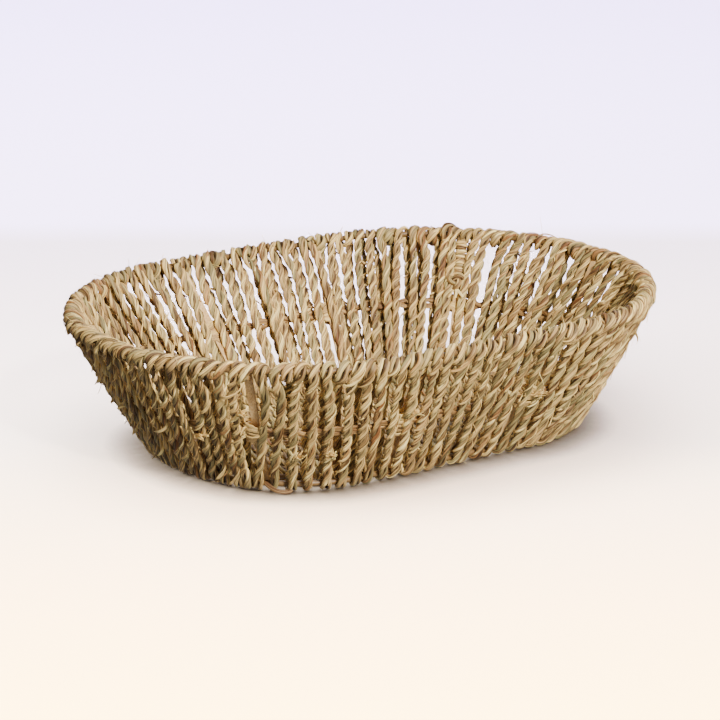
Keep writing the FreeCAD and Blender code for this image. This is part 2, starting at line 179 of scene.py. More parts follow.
# ---- Meshes from arrays ----
class MeshBuffer:
    """Collects tubes of rings, then makes one object of them."""

    def __init__(self):
        self.points = []
        self.quads = []
        self.caps = []
        self.attributes = {"grain": [], "tone": [], "hue": [], "painted_shade": []}
        self.count = 0

    def add_tube(self, rings, grain, tone, hue, painted_shade, closed=False):
        """rings is (stations, sides, 3). The other arrays give one value to each point."""
        stations, sides, _ = rings.shape
        index = self.count + np.arange(stations * sides).reshape(stations, sides)
        following = np.roll(index, -1, axis=0) if closed else index[1:]
        here = index if closed else index[:-1]
        quad = [here, np.roll(here, -1, axis=1), np.roll(following, -1, axis=1), following]
        self.quads.append(np.stack(quad, axis=-1).reshape(-1, 4))
        if not closed:
            self.caps.append(index[0][::-1])
            self.caps.append(index[-1])
        self.points.append(rings.reshape(-1, 3))
        for name, values in (("grain", grain), ("tone", tone), ("hue", hue), ("painted_shade", painted_shade)):
            width = 3 if name == "grain" else 1
            values = np.asarray(values, dtype=float)
            if name != "grain":
                values = values.reshape(values.shape + (1,) * (3 - values.ndim))
            values = np.broadcast_to(values, (stations, sides, width))
            self.attributes[name].append(values.reshape(-1, width))
        self.count += stations * sides

    def make(self, name, material):
        points = np.concatenate(self.points)
        # The basket stands on the floor: nothing reaches below it.
        points[:, 2] = np.maximum(points[:, 2], 0.0)
        quads = np.concatenate(self.quads)
        loops = [quads.reshape(-1)] + self.caps
        totals = np.concatenate([np.full(len(quads), 4), [len(cap) for cap in self.caps]])
        totals = totals.astype(np.int32)
        loops = np.concatenate(loops).astype(np.int32)
        mesh = bpy.data.meshes.new(name)
        mesh.vertices.add(len(points))
        mesh.vertices.foreach_set("co", points.astype(np.float32).ravel())
        mesh.loops.add(len(loops))
        mesh.loops.foreach_set("vertex_index", loops)
        mesh.polygons.add(len(totals))
        starts = np.concatenate([[0], np.cumsum(totals)[:-1]]).astype(np.int32)
        mesh.polygons.foreach_set("loop_start", starts)
        mesh.polygons.foreach_set("use_smooth", np.ones(len(totals), dtype=bool))
        mesh.update(calc_edges=True)
        mesh.validate()
        for attribute, parts in self.attributes.items():
            kind, key = ("FLOAT_VECTOR", "vector") if attribute == "grain" else ("FLOAT", "value")
            layer = mesh.attributes.new(attribute, kind, "POINT")
            layer.data.foreach_set(key, np.concatenate(parts).astype(np.float32).ravel())
        piece = bpy.data.objects.new(name, mesh)
        bpy.context.scene.collection.objects.link(piece)
        mesh.materials.append(material)
        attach(piece, "root")
        return piece


# ---- Materials ----
def srgb(red, green, blue):
    """Linear colour of an sRGB colour given in 0 to 255."""
    return tuple((value / 255) ** 2.2 for value in (red, green, blue)) + (1.0,)


class Nodes:
    """Short calls for a material's node tree."""

    def __init__(self, name):
        self.material = bpy.data.materials.new(name)
        self.material.use_nodes = True
        self.tree = self.material.node_tree
        self.shader = self.tree.nodes["Principled BSDF"]

    def add(self, kind, inputs=(), **settings):
        node = self.tree.nodes.new(kind)
        for key, value in settings.items():
            setattr(node, key, value)
        for key, value in dict(inputs).items():
            self.set(node.inputs[key], value)
        return node

    def set(self, socket, value):
        """Links another node's output to the socket, or sets a plain value on it."""
        if isinstance(value, bpy.types.NodeSocket):
            self.tree.links.new(value, socket)
        else:
            socket.default_value = value

    def attribute(self, name):
        return self.add("ShaderNodeAttribute", attribute_name=name)

    def noise(self, vector, scale, detail=3.0, roughness=0.55):
        inputs = {"Vector": vector, "Scale": scale, "Detail": detail, "Roughness": roughness}
        return self.add("ShaderNodeTexNoise", inputs).outputs["Fac"]

    def stretched(self, vector, scale):
        return self.add("ShaderNodeMapping", {"Vector": vector, "Scale": scale}).outputs["Vector"]

    def ramp(self, value, stops):
        node = self.add("ShaderNodeValToRGB", {"Fac": value})
        elements = node.color_ramp.elements
        while len(elements) < len(stops):
            elements.new(0.5)
        for element, (position, colour) in zip(elements, stops):
            element.position = position
            element.color = colour
        return node.outputs["Color"]

    def math(self, operation, first, second=0.0):
        return self.add("ShaderNodeMath", {0: first, 1: second}, operation=operation).outputs[0]

    def mapped(self, value, low, high, to_low, to_high):
        names = ("Value", "From Min", "From Max", "To Min", "To Max")
        inputs = dict(zip(names, (value, low, high, to_low, to_high)))
        return self.add("ShaderNodeMapRange", inputs).outputs["Result"]

    def mix(self, amount, first, second, blend_type="MIX"):
        node = self.add("ShaderNodeMix", data_type="RGBA", blend_type=blend_type)
        for index, value in ((0, amount), (6, first), (7, second)):
            self.set(node.inputs[index], value)
        return node.outputs[2]

    def finish(self, colour, roughness, height=None, distance=0.0002, strength=0.5):
        self.set(self.shader.inputs["Base Color"], colour)
        self.set(self.shader.inputs["Roughness"], roughness)
        if height is not None:
            inputs = {"Height": height, "Distance": distance, "Strength": strength}
            bump = self.add("ShaderNodeBump", inputs)
            self.set(self.shader.inputs["Normal"], bump.outputs["Normal"])
        return self.material


def grass_material(name, lift=0.0):
    """Dried grass: fine fibres along each strand, strands that differ, and painted shade where they
    meet.

    lift is how much paler it is than the rope.
    """
    nodes = Nodes(name)
    grain = nodes.attribute("grain").outputs["Vector"]
    tone = nodes.attribute("tone").outputs["Fac"]
    hue = nodes.attribute("hue").outputs["Fac"]
    painted_shade = nodes.attribute("painted_shade").outputs["Fac"]
    fibres = nodes.noise(nodes.stretched(grain, (2800, 2800, 90)), 1.0, 4.0, 0.65)
    broad = nodes.noise(nodes.stretched(grain, (900, 900, 40)), 1.0, 2.0)
    stains = nodes.noise(nodes.stretched(grain, (350, 350, 140)), 1.0, 3.0)
    value = nodes.mapped(tone, 0, 1, 0.04 + lift, 0.92 + lift)
    value = nodes.math("ADD", value, nodes.mapped(fibres, 0.25, 0.75, -0.34, 0.34))
    value = nodes.math("ADD", value, nodes.mapped(broad, 0.3, 0.7, -0.30, 0.30))
    colour = nodes.ramp(value, [
        (0.00, srgb(84, 58, 30)),
        (0.28, srgb(142, 110, 66)),
        (0.50, srgb(184, 150, 98)),
        (0.74, srgb(232, 192, 114)),
        (1.00, srgb(255, 228, 152)),
    ])
    green = nodes.mix(nodes.mapped(hue, -0.15, -1.0, 0.0, 0.7), colour, srgb(146, 138, 90))
    brown = nodes.mix(nodes.mapped(hue, 0.25, 1.0, 0.0, 0.65), green, srgb(146, 86, 44))
    stained = nodes.mix(nodes.mapped(stains, 0.60, 0.80, 0.0, 0.5), brown, srgb(128, 90, 54))
    # Painted shade: darkened towards srgb(62, 42, 24) where a ply faces the other ply and in the
    # creases between its leaves.
    shaded = nodes.mix(nodes.mapped(painted_shade, 0.25, 0.9, 0.0, 0.9), stained, srgb(62, 42, 24))
    roughness = nodes.mapped(fibres, 0.3, 0.7, 0.46, 0.70)
    height = nodes.math("ADD", fibres, nodes.math("MULTIPLY", broad, 1.2))
    nodes.shader.inputs["Specular IOR Level"].default_value = 0.4
    return nodes.finish(shaded, roughness, height, 0.0004, 0.8)


def cane_material(name, painted_shade_amount):
    """Smooth split cane: long fine grain and a slight sheen. The second argument is how much painted
    shade darkens it.
    """
    nodes = Nodes(name)
    place = nodes.add("ShaderNodeTexCoord").outputs["Object"]
    grain = nodes.noise(nodes.stretched(place, (1500, 1500, 60)), 1.0, 4.0, 0.6)
    blotches = nodes.noise(place, 55.0, 3.0)
    fine = nodes.mapped(grain, 0.3, 0.7, 0.1, 0.75)
    value = nodes.math("ADD", fine, nodes.mapped(blotches, 0.35, 0.65, -0.2, 0.3))
    colour = nodes.ramp(value, [
        (0.0, srgb(166, 128, 78)),
        (0.4, srgb(208, 168, 112)),
        (0.75, srgb(230, 194, 136)),
        (1.0, srgb(244, 214, 164)),
    ])
    # Painted shade: mixes the cane towards srgb(112, 84, 48).
    colour = nodes.mix(painted_shade_amount, colour, srgb(112, 84, 48))
    nodes.shader.inputs["Specular IOR Level"].default_value = 0.45
    return nodes.finish(colour, nodes.mapped(grain, 0.3, 0.7, 0.36, 0.55), grain, 0.0002, 0.4)


ROPE = grass_material("grass_rope")
LEAF = grass_material("grass_leaf", 0.06)
STAKE_CANE = cane_material("stake_cane", 0.0)
# The hoops get cane darkened almost to the colour of rope in shadow: painted shade.
HOOP_CANE_PAINTED_SHADE = cane_material("hoop_cane_painted_shade", 0.95)

for node_name, node_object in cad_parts.items():
    if node_name.endswith("_hoop") or node_name.startswith(("stake_0", "stake_1", "floor_rib")):
        for material_slot in node_object.material_slots:
            material_slot.material = STAKE_CANE if node_name.startswith("stake") else HOOP_CANE_PAINTED_SHADE


# ---- Strands ----
# The length of one full twist of the two plies, and the spacing of a rope's stations.
LAY = 19.0 * MM
STEP = 1.2 * MM
# Leaves in a ply, and points across each.
LEAVES = 4
LEAF_SIDES = 4
SIDES = LEAVES * LEAF_SIDES
GRAIN_RADIUS = 1.4 * MM
# Each strand starts somewhere in this length of grain, so that no two look the same.
GRAIN_LENGTH = 50
# In millimetres: how far a ply's middle stands from the rope's, across it and through it,
# and the ply's own half width and half thickness.
PLY_ACROSS = 1.35
PLY_THROUGH = 0.66
PLY_HALF_WIDTH = 1.40
PLY_HALF_THICKNESS = 1.30
# Shares of the leaves that are brown and green, and the lengths of leaves in millimetres.
BROWN_SHARE = 0.07
GREEN_SHARE = 0.24
LEAF_LENGTHS = (30, 140)
# Leaves and fibres that would come lower than this are left out.
CLEAR_OF_FLOOR = 1.2 * MM


def lengths_along(points):
    """The length of a polyline up to each of its points."""
    return np.concatenate([[0.0], np.cumsum(np.linalg.norm(np.diff(points, axis=0), axis=1))])


def resample(points, normals, marks, step):
    """Even stations along a polyline. Normals and the columns of marks are carried along."""
    lengths = lengths_along(points)
    count = max(int(round(lengths[-1] / step)), 4)
    even = np.linspace(0.0, lengths[-1], count + 1)

    def carried(columns):
        return np.stack([np.interp(even, lengths, column) for column in columns.T], axis=1)

    return carried(points), unit(carried(normals)), carried(marks), even


def even_line(points, normals, step=STEP):
    """Even stations along a polyline that carries no marks."""
    points, normals, _, distance = resample(points, normals, np.zeros((len(points), 1)), step)
    return points, normals, distance


def blurred(points, passes):
    """Rounds a line's corners a little, with its ends kept."""
    for _ in range(passes):
        points[1:-1] = 0.25 * points[:-2] + 0.5 * points[1:-1] + 0.25 * points[2:]
    return points


def frames_along(points, normals, closed=False):
    """Across directions and square normals along a line."""
    if closed:
        forward = unit(np.roll(points, -1, axis=0) - np.roll(points, 1, axis=0))
    else:
        forward = unit(np.gradient(points, axis=0))
    normals = unit(normals - forward * np.sum(normals * forward, axis=1, keepdims=True))
    return np.cross(forward, normals), normals


def leaf_tones(length):
    """Tone and hue along a strand, which change where one leaf gives way to the next."""
    edges = [-random.uniform(0, 90) * MM]
    while edges[-1] < length + 0.2:
        edges.append(edges[-1] + random.uniform(*LEAF_LENGTHS) * MM)
    edges = np.array(edges)
    tones = np.clip(random.normal(0.5, 0.24, len(edges)), 0.0, 1.0)
    kinds = random.random(len(edges))
    hues = np.where(kinds < BROWN_SHARE, random.uniform(0.4, 1.0, len(edges)), 0.0)
    hues = np.where(kinds > 1 - GREEN_SHARE, -random.uniform(0.3, 1.0, len(edges)), hues)

    def at(distance):
        place = np.clip(np.searchsorted(edges, distance, side="right") - 1, 0, len(edges) - 2)
        ease = np.clip((distance - edges[place]) / (7 * MM), 0, 1)
        before = np.maximum(place - 1, 0)
        tone = tones[before] * (1 - ease) + tones[place] * ease
        return tone, hues[before] * (1 - ease) + hues[place] * ease

    return at


def rings_about(centre, x, across, y, normal):
    """A ring of points at each station of a line."""
    return centre[:, None, :] + x[..., None] * across[:, None, :] + y[..., None] * normal[:, None, :]


def add_ply(buffer, centre, across, normal, sizes, distance, spin, painted_shade_side):
    """One ply: leaves twisted side by side, with a crease between each and the next.

    sizes are its half width and half thickness, and spin the turn of its leaves, at each
    station. The last argument is the direction, across and through, where shade is painted on it.
    """
    total = distance[-1]
    around = np.linspace(0, 2 * np.pi, SIDES, endpoint=False)
    part = np.tile(np.arange(LEAF_SIDES) / LEAF_SIDES, LEAVES)
    skew = random.uniform(-0.5, 0.5)
    swelling = np.sin(np.pi * part) ** 0.6 * (1 + skew * (part - 0.5))
    swelling = np.where(part == 0, 0.0, swelling)
    leaves = [
        (leaf_tones(total)(distance), smooth_noise(total, 16 * MM)(distance))
        for _ in range(LEAVES)
    ]
    ply_tone, ply_hue = leaf_tones(total)(distance)
    tone = np.stack([leaf[0][0] for leaf in leaves], axis=1).repeat(LEAF_SIDES, axis=1)
    tone = tone + 0.45 * (ply_tone - 0.5)[:, None]
    hue = np.stack([leaf[0][1] for leaf in leaves], axis=1).repeat(LEAF_SIDES, axis=1)
    hue = np.where(np.abs(ply_hue[:, None]) > np.abs(hue), ply_hue[:, None], hue)
    fullness = np.stack([leaf[1] for leaf in leaves], axis=1).repeat(LEAF_SIDES, axis=1)
    bulge = 0.80 + (0.25 + 0.10 * np.clip(fullness, -1.6, 1.6)) * swelling[None, :]
    angle = around[None, :] + spin[:, None]
    cosine, sine = np.cos(angle), np.sin(angle)
    x = sizes[0][:, None] * bulge * cosine
    y = sizes[1][:, None] * bulge * sine
    rings = rings_about(centre, x, across, y, normal)
    circle = GRAIN_RADIUS * np.stack([np.cos(around), np.sin(around)], axis=1)
    grain = np.broadcast_to(circle, x.shape + (2,))
    start = random.uniform(0, GRAIN_LENGTH)
    along = np.broadcast_to((distance + start)[:, None, None], x.shape + (1,))
    # Painted shade on the side that faces the other ply, and in each crease between leaves.
    facing = cosine * painted_shade_side[0][:, None] + sine * painted_shade_side[1][:, None]
    crease = np.where(part == 0, 0.75, 0.0)[None, :]
    painted_shade = np.maximum(np.clip(facing, 0, 1), crease)
    buffer.add_tube(rings, np.concatenate([grain, along], axis=-1), tone, hue, painted_shade)


def add_rope(buffer, points, normals, distance, loose, scale):
    """A two-ply rope along a line; returns each ply's outer line, and the directions out of
    it and flat along it, for loose leaves.

    loose, from 0 to 1, lets the two plies part and lie side by side.
    """
    across, normals = frames_along(points, normals)

    def noise(spacing):
        return smooth_noise(distance[-1], spacing * MM)(distance)

    rate = (2 * np.pi / LAY) * (1 - 0.55 * loose) * (1 + 0.16 * noise(80))
    twist = -np.cumsum(rate) * np.gradient(distance) + 0.5 * noise(22)
    twist += random.uniform(0, 2 * np.pi)
    grown = scale * (1 + 0.06 * noise(14) + 0.06 * noise(120))
    balance = 0.10 * noise(150)
    plies = []
    for ply in (0, 1):
        angle = twist + ply * np.pi
        own = 1 + 0.13 * noise(11) + (balance if ply else -balance)
        cosine, sine = np.cos(angle), np.sin(angle)
        spread = (PLY_ACROSS + 0.35 * loose) * MM * grown
        depth = PLY_THROUGH * MM * grown * sine
        centre = points + across * (spread * cosine)[:, None] + normals * depth[:, None]
        half_width = (PLY_HALF_WIDTH + 0.62 * sine ** 2 - 0.25 * loose) * MM * grown * own
        half_thickness = (PLY_HALF_THICKNESS - 0.24 * sine ** 2) * MM * grown * own
        sizes = (half_width, half_thickness)
        spin = -distance * 2 * np.pi / (1.5 * LAY) + 0.7 * noise(22)
        add_ply(buffer, centre, across, normals, sizes, distance, spin, (-cosine, -sine))
        side = across * cosine[:, None] + normals * sine[:, None]
        reach = np.sqrt((half_width * cosine) ** 2 + (half_thickness * sine) ** 2)
        flat = np.cross(side, unit(np.gradient(centre, axis=0)))
        plies.append((centre + side * (0.93 * reach)[:, None], side, flat))
    return plies


def add_strip(
    buffer, points, normals, half_width, half_thickness, tone, hue, sides=8, tip=0.25, closed=False
):
    """A flat leaf or fibre along a line: its broad face looks along the normals, its ends narrow."""
    across, normals = frames_along(points, normals, closed)
    taper = np.ones(len(points))
    if not closed:
        place = np.linspace(0, 1, len(points))
        ease = np.clip(np.minimum(place, 1 - place) / 0.16, 0, 1)
        taper = tip + (1 - tip) * np.sqrt(1 - (1 - ease) ** 2)
    around = np.linspace(0, 2 * np.pi, sides, endpoint=False)
    wide = (np.broadcast_to(half_width, len(points)) * taper)[:, None]
    cosine, sine = np.cos(around)[None, :], np.sin(around)[None, :]
    fold = 0.35 * half_thickness * np.abs(np.cos(around))[None, :]
    x = wide * cosine
    y = half_thickness * sine * (0.5 + 0.5 * taper)[:, None] + fold
    rings = rings_about(points, x, across, y, normals)
    along = lengths_along(points) + random.uniform(0, GRAIN_LENGTH)
    grain = np.stack([x, y, np.broadcast_to(along[:, None], x.shape)], axis=-1)
    buffer.add_tube(rings, grain, tone, hue, 0.0, closed)


def strip_shade():
    """Tone and hue of one loose leaf. Most are paler than the rope."""
    kind = random.random()
    hue = 0.0
    if kind < 0.10:
        hue = random.uniform(0.4, 1.0)
    elif kind > 0.85:
        hue = -random.uniform(0.2, 0.8)
    return clipped_normal(0.66, 0.2, 0.1, 1.0), hue


def add_loose_leaves(buffer, plies, count):
    """Leaves that follow a ply for a way and lift from it at one end."""
    for _ in range(count):
        surface, side, flat = plies[random.integers(2)]
        stations = int(random.uniform(9, 30))
        start = random.integers(0, max(len(surface) - stations - 1, 1))
        chosen = slice(start, start + stations)
        place = np.linspace(0, 1, stations)
        lift = random.uniform(0.0, 1.0) ** 3 * 3.0 * MM
        lifted = np.clip((place - random.uniform(0.55, 0.8)) / 0.3, 0, 1.5) ** 2 * lift
        drift = random.normal(0, 0.7) * MM * place + random.normal(0, 0.5) * lifted
        normals = side[chosen]
        line = surface[chosen] + normals * (0.12 * MM + lifted)[:, None] + flat[chosen] * drift[:, None]
        if random.random() < 0.5:
            line, normals = line[::-1], normals[::-1]
        tone, hue = strip_shade()
        if line[:, 2].min() > CLEAR_OF_FLOOR:
            half_width = random.uniform(0.35, 1.0) * MM
            half_thickness = random.uniform(0.10, 0.2) * MM
            add_strip(buffer, line, normals, half_width, half_thickness, tone, hue)


def add_fibres(buffer, plies, count):
    """Hairs that stand off the rope."""
    for _ in range(count):
        surface, side, flat = plies[random.integers(2)]
        place = random.integers(3, len(surface) - 3)
        heading = unit(surface[place + 1] - surface[place - 1]) * random.choice([-1, 1])
        length = random.uniform(3, 10) * MM
        steps = np.linspace(0, 1, 8)[:, None]
        aim = heading + side[place] * random.uniform(0.05, 0.5) + flat[place] * random.normal(0, 0.35)
        line = surface[place] + steps * length * aim
        line = line + steps ** 2 * length * random.normal(0, 0.22, 3)
        tone, hue = strip_shade()
        normals = np.broadcast_to(side[place], line.shape)
        if line[:, 2].min() > CLEAR_OF_FLOOR:
            half_width = random.uniform(0.10, 0.20) * MM
            add_strip(buffer, line, normals, half_width, 0.09 * MM, tone, hue, sides=4, tip=0.3)


# ---- Wall rope ----
def arc_about(centres, outward, up, start, stop, radius):
    """Points and normals of an arc round a rod, from angle start to stop.

    0 degrees is outward and 90 is up the wall.
    """
    angle = np.radians(np.linspace(start, stop, len(centres)))[:, None]
    normal = outward * np.cos(angle) + up * np.sin(angle)
    return centres + normal * radius, normal


def rope_passes():
    """Each turn of the wall rope in order: its panel, rim slot and base slot.

    The base slot is None where the rope stays on the rim.
    """
    passes = []
    for panel in range(STAKES):
        base_slot = 0
        for rim_slot in range(RIM_SLOTS):
            wall = rim_slot not in RIM_ONLY_SLOTS
            base_slot += wall
            passes.append((panel, rim_slot, base_slot if wall else None))
    return passes


# Above this level a run bends from its line on the wall to its place on the rim.
BEND_LEVEL = 0.78
# How far the rope's base ends stand from the stakes' own lean, in turns towards a higher
# fraction round the wall, and the fractions where that holds.
LEAN_PLACES = (0.0, 0.05, 0.1, 0.2, 0.3, 0.4, 0.5, 0.6, 0.65, 0.7, 0.8, 0.9)
LEANS = (1.8, 1.2, 0.6, 0.1, 1.3, 0.5, -0.5, -0.9, 0.1, 1.1, 2.6, 2.9)
# The panel and rim slot of the one turn that stands up from the rim.
RIM_BUMP = (8, 13)
BUMP_SWELL = 1.6
# Panels at the back, where the inner runs stand between the outer ones.
BACK_PANELS = (5, 6, 7)
# Turns whose outer run is set aside, by panel and base slot, in turns on the rim.
NUDGES = {
    (3, 8): -0.2, (3, 9): -0.6, (3, 10): -1.1,
    (4, 1): 0.6, (4, 2): 0.25,
    (7, 5): 0.3, (7, 6): -0.3,
    (8, 10): -0.3, (9, 1): 0.1,
}
# On the rim the rope is thicker and its plies lie side by side. Inside the wall it is thinner.
RIM_SCALE = 1.18
RIM_LOOSE = 0.7
INNER_SCALE = 0.95
ARC_STATIONS = 10
BASE_STATIONS = 9
# The plies part below this level, more and more over the blend.
FOOT_LEVEL = 0.17
FOOT_BLEND = 0.12
# Each run keeps a little clear of the arcs over the rim and under the base.
RUN_STATIONS = 18
RUN_START = 0.04
RUN_STOP = 0.96


def turn_facts(panel, rim_slot, base_slot):
    """How one turn of hand-wound rope differs from its neighbours.

    Places and shifts round the wall are in turns. Sways, curl and proud are in millimetres.
    """
    pair = 0.07 if base_slot is not None and base_slot % 2 else -0.07
    swell = random.uniform(0.98, 1.12)
    if (panel, rim_slot) == RIM_BUMP:
        swell = BUMP_SWELL
    nudge = NUDGES.get((panel, base_slot), 0.0)
    share = (base_slot - 0.5) / (BASE_SLOTS - 1) if base_slot is not None else 0.0
    lean = np.interp(-(panel + share) / STAKES, LEAN_PLACES, LEANS, period=1.0)
    back = panel in BACK_PANELS
    return {
        "panel": panel,
        "slot": rim_slot,
        "base": base_slot,
        "run": RIM_SLOTS * share + random.normal(0, 0.10) + nudge,
        "beside": random.uniform(0.25, 0.75) if back else random.normal(0.3, 0.2),
        "shift": random.normal(0, 0.06),
        "over": random.uniform(0.42, 0.8),
        "swell": swell,
        "droop": random.uniform(1.1, 1.7),
        "base_run": BASE_SLOTS * share - lean + pair + random.normal(0, 0.06) - 0.3 * nudge,
        "under": random.uniform(0.2, 0.9) if back else random.uniform(0.0, 0.3),
        "sway": random.normal(0, 0.55),
        "curl": random.normal(0, 0.4),
        "proud": random.uniform(0.3, 1.2),
        "inner_sway": random.normal(0, 0.7),
        "inner_proud": random.uniform(0.1, 0.7),
        "size": random.uniform(0.90, 1.09),
    }


def wall_run(level, fall, rim_places, base_place, side, proud, sway):
    """One run of the rope between rim and base: side is 1 outside the wall and -1 inside.

    level and fall are its height above the base and below the rim, from 0 to 1. rim_places
    are where its line on the wall would meet the rim, and where the rope does.
    """
    bend = ease_in((level - BEND_LEVEL) / (1 - BEND_LEVEL))
    rim_side = rim_places[0] + (rim_places[1] - rim_places[0]) * bend
    top, low, _, forward, outward = wall_at(-rim_side, np.full(RUN_STATIONS, -base_place))
    normals = side * outward
    points = top * level[:, None] + low * fall[:, None]
    points = points + normals * (TURN_RADIUS + proud)[:, None] + forward * sway[:, None]
    return points, normals


def panel_path(passes, following_turn):
    """The rope's line through one panel's turns: points, normals, and marks of looseness and size."""
    points, normals, marks = [], [], []

    def extend(new_points, new_normals, loose=0.0, size=1.0):
        points.append(new_points)
        normals.append(new_normals)
        columns = [np.broadcast_to(value, len(new_points)) for value in (loose, size)]
        marks.append(np.stack(columns, axis=1))

    def rim_place(turn):
        return (turn["panel"] * RIM_SLOTS + turn["slot"] + turn["shift"]) / RIM_TURNS

    for number, turn in enumerate(passes):
        following = passes[number + 1] if number + 1 < len(passes) else following_turn
        outer = rim_place(turn)
        inner_before = outer - turn["over"] / RIM_TURNS
        inner_after = rim_place(following) - following["over"] / RIM_TURNS
        outer_run = (turn["panel"] * RIM_SLOTS + turn["run"]) / RIM_TURNS
        inner_run = outer_run + turn["beside"] / RIM_TURNS
        radius = TURN_RADIUS * turn["swell"]
        size = turn["size"]
        steps = np.linspace(0, 1, ARC_STATIONS)
        fractions = inner_before + (outer - inner_before) * steps
        centres, _, up, _, outward = wall_at(-fractions, -fractions)
        extend(*arc_about(centres, outward, up, 180, 5, radius), RIM_LOOSE, RIM_SCALE * size)
        if turn["base"] is None:
            fractions = outer + (inner_after - outer) * steps[1:]
            centres, _, up, _, outward = wall_at(-fractions, -fractions)
            arc = arc_about(centres, outward, up, -10, -170, radius * turn["droop"])
            extend(*arc, RIM_LOOSE, RIM_SCALE * size)
            continue
        base_outer = (turn["panel"] * BASE_SLOTS + turn["base_run"]) / BASE_TURNS
        base_inner = base_outer + turn["under"] / BASE_TURNS
        fractions = base_outer + (base_inner - base_outer) * np.linspace(0, 1, BASE_STATIONS)
        _, centres, up, _, outward = wall_at(-fractions, -fractions)
        under = arc_about(centres, outward, up, 0, -180, TURN_RADIUS)
        steps = np.linspace(RUN_START, RUN_STOP, RUN_STATIONS)
        belly = np.sin(np.pi * steps)
        proud = turn["proud"] * belly * MM
        sway = (turn["sway"] * belly + turn["curl"] * np.sin(2 * np.pi * steps)) * MM
        run = wall_run(1 - steps, steps, (outer_run, outer), base_outer, 1, proud, sway)
        extend(*run, np.clip((FOOT_LEVEL - (1 - steps)) / FOOT_BLEND, 0, 1), size)
        extend(*under, 1 - np.linspace(0, 1, BASE_STATIONS), size)
        proud = turn["inner_proud"] * belly * MM
        sway = turn["inner_sway"] * belly * MM
        run = wall_run(steps, 1 - steps, (inner_run, inner_after), base_inner, -1, proud, sway)
        extend(*run, 0.0, INNER_SCALE * size)
    centres, _, up, _, outward = wall_at([-inner_after], [-inner_after])
    extend(*arc_about(centres, outward, up, 180, 180, TURN_RADIUS), RIM_LOOSE, RIM_SCALE)
    return np.concatenate(points), np.concatenate(normals), np.concatenate(marks)


WALL_TURNS = [turn_facts(*place) for place in rope_passes()]
PANEL_LEAVES = 240
PANEL_FIBRES = 60


def wall_ropes():
    """One rope piece to each panel, with its loose leaves and hairs."""
    for panel in range(STAKES):
        turns = WALL_TURNS[panel * RIM_SLOTS:(panel + 1) * RIM_SLOTS]
        following = dict(WALL_TURNS[(panel + 1) * RIM_SLOTS % len(WALL_TURNS)])
        following["panel"] = panel + 1
        points, normals, marks, distance = resample(*panel_path(turns, following), STEP)
        buffer = MeshBuffer()
        plies = add_rope(buffer, blurred(points, 3), normals, distance, marks[:, 0], marks[:, 1])
        # The rope is wound the other way round from the count of the panels.
        node = STAKES - panel
        piece = buffer.make(f"wound_rope_{node:02d}", ROPE)
        nodes = [f"wall_rope_{node:02d}"] + (["rim_wraps"] if node == 1 else [])
        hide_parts(*nodes)
        leaves = MeshBuffer()
        add_loose_leaves(leaves, plies, PANEL_LEAVES)
        add_fibres(leaves, plies, PANEL_FIBRES)
        leaves.make(f"loose_leaves_{node:02d}", LEAF)


# ---- Twine, ties and the bound stake ----
def twine_ring():
    """Two strands twisted together round the outside of the stakes."""
    count = 720
    fraction = np.arange(count) / count
    top, low, up, _, outward = wall_at(fraction, fraction)
    centre = low * (1 - TWINE_LEVEL) + top * TWINE_LEVEL + outward * (1.5 * MM)
    turns = round(RIM.length * 0.85 / (26 * MM))
    waver = sum(np.sin(2 * np.pi * (k * fraction + random.random())) / k for k in (5, 11, 23))
    waver = waver * 0.8 * MM
    for number, node in enumerate(("twine_upper", "twine_lower")):
        angle = 2 * np.pi * turns * fraction + number * np.pi
        rise = 1.9 * MM * np.cos(angle) + waver
        line = centre + up * rise[:, None] + outward * (0.5 * MM * np.sin(angle))[:, None]
        buffer = MeshBuffer()
        for _ in range(2):
            shift = up * (random.normal(0, 0.3) * MM) + outward * (random.normal(0, 0.15) * MM)
            tone = random.uniform(0.0, 0.3)
            add_strip(buffer, line + shift, outward, 1.45 * MM, 0.75 * MM, tone, 0.45, 10, closed=True)
        piece = buffer.make(f"wound_{node}", LEAF)
        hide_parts(node)


def stake_frame(number):
    """Foot, head, and forward, outward and up directions of one stake."""
    fraction = np.array([number / STAKES])
    top, low, up, forward, outward = wall_at(fraction, fraction)
    return low[0], top[0], forward[0], outward[0], up[0]


def tie_bands():
    """Flat leaves wrapped round each stake over the twine, spread wider on one side."""
    for number in range(STAKES):
        low, top, forward, outward, up = stake_frame(number)
        middle = low + (top - low) * TWINE_LEVEL
        buffer = MeshBuffer()
        bands = int(random.integers(5, 7))
        tilt = 0.72 if number % 2 else -0.72
        turn = np.linspace(0, 2 * np.pi, 40, endpoint=False)
        side, through = np.cos(turn), np.sin(turn)
        for band in range(bands):
            place = band - (bands - 1) / 2
            half = np.where(side < 0, 6.2, 5.0) + random.normal(0, 0.35)
            x = half * np.sign(side) * np.abs(side) ** 0.8
            depth = np.where(through > 0, 3.4 + 0.25 * (band % 2), 1.7)
            depth = depth * np.sign(through) * np.abs(through) ** 0.55
            spread = np.where(side < 0, 3.1, 2.5 - 0.6 * np.abs(side))
            rise = place * spread + tilt * side + 0.5 * np.sin(turn + random.uniform(0, 6))
            offset = np.outer(x, forward) + np.outer(depth + 0.3, outward) + np.outer(rise, up)
            line = middle + offset * MM
            normals = np.outer(side * 0.5, forward) + np.outer(through, outward)
            tone = clipped_normal(0.6, 0.14, 0.2, 1.0)
            width = random.uniform(1.0, 1.45) * MM
            add_strip(buffer, line, normals, width, 0.28 * MM, tone, 0.0, 10, closed=True)
        for _ in range(4):
            offset = forward * -5.4 + outward * random.uniform(1.5, 3.2) + up * random.normal(0, 2.5)
            start = middle + offset * MM
            aim = -forward * random.uniform(0.2, 1.0) + outward * random.uniform(0.1, 0.7)
            aim = aim + up * random.normal(0.3, 0.7)
            add_cut_leaf(buffer, start, unit(aim), outward, random.uniform(4, 9) * MM)
        piece = buffer.make(f"leaf_tie_{number + 1:02d}", LEAF)
        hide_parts(f"tie_{number + 1:02d}")


CUT_HALF_WIDTH = 0.9 * MM


